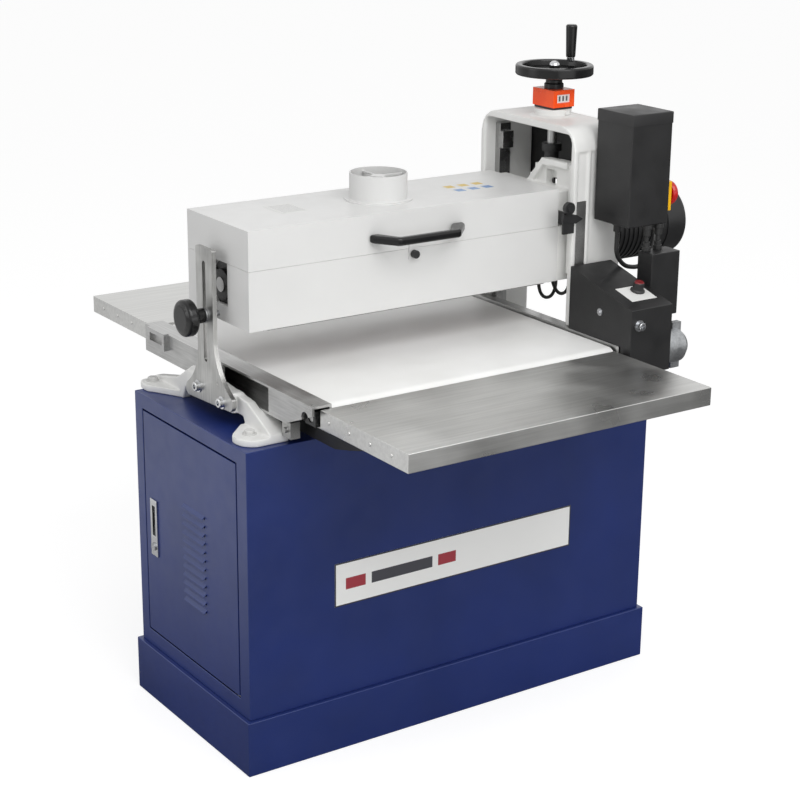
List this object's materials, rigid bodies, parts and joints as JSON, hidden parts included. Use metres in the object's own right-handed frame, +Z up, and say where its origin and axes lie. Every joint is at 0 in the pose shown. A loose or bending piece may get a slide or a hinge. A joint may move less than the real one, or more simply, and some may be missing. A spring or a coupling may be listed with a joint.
{
  "type": "drum sander",
  "caption": "Open-ended drum sander on a closed steel cabinet, with a conveyor belt, infeed and outfeed tables, a height-adjusted drum head and a hinged dust cover.",
  "frame": {"origin": "centre of the plinth's underside, on the floor", "axes": "+X right along the long front, +Y from the operator's side to the outfeed side, +Z up"},
  "size_m": [1.05, 1.056, 1.172],
  "materials": {
    "cabinet_blue": "powder coat, satin",
    "casting_grey": "enamel, satin",
    "black_enamel": "powder coat, fine texture",
    "bright_steel": "brushed",
    "chrome": "polished",
    "black_plastic": "moulded",
    "orange_plastic": "moulded",
    "yellow_plastic": "moulded",
    "red_plastic": "moulded",
    "belt_white": "smooth coated fabric",
    "abrasive": "coated abrasive",
    "aluminium": "machined",
    "cast_iron": "as cast",
    "rubber_black": "moulded",
    "white_plate": "printed film"
  },
  "bodies": {
    "frame": {"plinth": "cabinet_blue", "cabinet_shell": "cabinet_blue", "door_hardware": "bright_steel", "left_base": "casting_grey", "outboard_bracket": "bright_steel", "column": "casting_grey", "guide_ways": "bright_steel", "column_back_plate": "black_enamel", "bed_supports": "black_enamel", "side_rails": "bright_steel", "roller_bearings": "cast_iron", "conveyor_bed": "bright_steel", "conveyor_belt": "belt_white", "infeed_table": "bright_steel", "outfeed_table": "bright_steel", "screw_collar": "casting_grey", "indicator_base": "black_plastic", "position_indicator": "orange_plastic", "control_box": "black_enamel", "face_plates": "white_plate", "gear_motor": "aluminium", "terminal_box": "black_enamel", "switch_box": "black_enamel", "estop_base": "yellow_plastic", "cable_loom": "rubber_black", "machine_bolts": "bright_steel"},
    "door": {"cabinet_door": "cabinet_blue", "latch_plate": "chrome"},
    "latch": {"latch_barrel": "chrome"},
    "head": {"head_housing": "casting_grey", "drum_bearings": "cast_iron", "motor": "black_enamel", "carriage": "casting_grey", "lead_nut": "black_enamel", "press_carriers": "black_plastic", "cover_hinge": "bright_steel", "lock_stud": "bright_steel", "depth_pointer": "black_plastic", "motor_cable": "rubber_black"},
    "drum": {"drum": "aluminium", "abrasive_wrap": "abrasive", "drum_shaft": "bright_steel", "shaft_coupling": "cast_iron", "motor_rotor": "bright_steel"},
    "cover": {"dust_cover": "casting_grey", "dust_port": "casting_grey", "cover_handle": "black_plastic", "cover_labels": "white_plate"},
    "catch": {"cover_catch": "black_plastic"},
    "press_front": {"press_roller_front": "bright_steel"},
    "press_rear": {"press_roller_rear": "bright_steel"},
    "knob": {"lock_knob": "black_plastic"},
    "wheel": {"lead_screw": "bright_steel", "handwheel": "black_plastic", "wheel_fittings": "chrome"},
    "grip": {"crank_grip": "black_plastic"},
    "drive": {"drive_roller": "bright_steel"},
    "idler": {"idler_roller": "bright_steel"},
    "speed": {"speed_knob": "black_plastic"},
    "estop": {"estop_button": "red_plastic"}
  },
  "joints": [
    {"name": "door_hinge", "type": "hinge", "parent": "frame", "child": "door", "pos_m": [-0.413, -0.15, 0.337], "axis": [0, 0, 1], "range_deg": [0, 100]},
    {"name": "latch_turn", "type": "hinge", "parent": "door", "child": "latch", "pos_m": [-0.415, 0.132, 0.3], "axis": [1, 0, 0], "range_deg": [-90, 0]},
    {"name": "head_lift", "type": "slide", "parent": "frame", "child": "head", "axis": [0, 0, 1], "range_m": [-0.074, 0.018], "deforming": ["motor_cable"]},
    {"name": "wheel_turn", "type": "hinge", "parent": "frame", "child": "wheel", "pos_m": [0.334, 0, 1.09], "axis": [0, 0, 1], "range_deg": [-1640, 6680]},
    {"name": "grip_spin", "type": "hinge", "parent": "wheel", "child": "grip", "pos_m": [0.38935, 0.02315, 1.14], "axis": [0, 0, 1], "continuous": true},
    {"name": "drum_spin", "type": "hinge", "parent": "head", "child": "drum", "pos_m": [0, 0, 0.796], "axis": [1, 0, 0], "continuous": true},
    {"name": "cover_hinge", "type": "hinge", "parent": "head", "child": "cover", "pos_m": [-0.044, 0.1075, 0.8384], "axis": [-1, 0, 0], "range_deg": [0, 95]},
    {"name": "catch_turn", "type": "hinge", "parent": "head", "child": "catch", "pos_m": [-0.041, -0.108, 0.829], "axis": [0, 1, 0], "continuous": true},
    {"name": "press_front_spin", "type": "hinge", "parent": "head", "child": "press_front", "pos_m": [-0.03, -0.083, 0.742], "axis": [1, 0, 0], "continuous": true},
    {"name": "press_rear_spin", "type": "hinge", "parent": "head", "child": "press_rear", "pos_m": [-0.03, 0.083, 0.742], "axis": [1, 0, 0], "continuous": true},
    {"name": "lock_knob_turn", "type": "hinge", "parent": "head", "child": "knob", "pos_m": [-0.42, 0, 0.748], "axis": [1, 0, 0], "continuous": true},
    {"name": "drive_spin", "type": "hinge", "parent": "frame", "child": "drive", "pos_m": [0, -0.262, 0.637], "axis": [1, 0, 0], "continuous": true},
    {"name": "idler_spin", "type": "hinge", "parent": "frame", "child": "idler", "pos_m": [0, 0.262, 0.637], "axis": [1, 0, 0], "continuous": true},
    {"name": "speed_turn", "type": "hinge", "parent": "frame", "child": "speed", "pos_m": [0.328, -0.25815, 0.74666], "axis": [0, -0.2534, 0.9674], "range_deg": [-135, 135]},
    {"name": "estop_press", "type": "slide", "parent": "frame", "child": "estop", "axis": [1, 0, 0], "range_m": [-0.0035, 0], "stiffness_N_per_m": 2500, "springref_m": 0.0004}
  ],
  "couplings": [
    {"joint": "wheel_turn", "follows": "head_lift", "rad_per_m": -1570.8},
    {"joint": "idler_spin", "follows": "drive_spin", "ratio": 1}
  ]
}
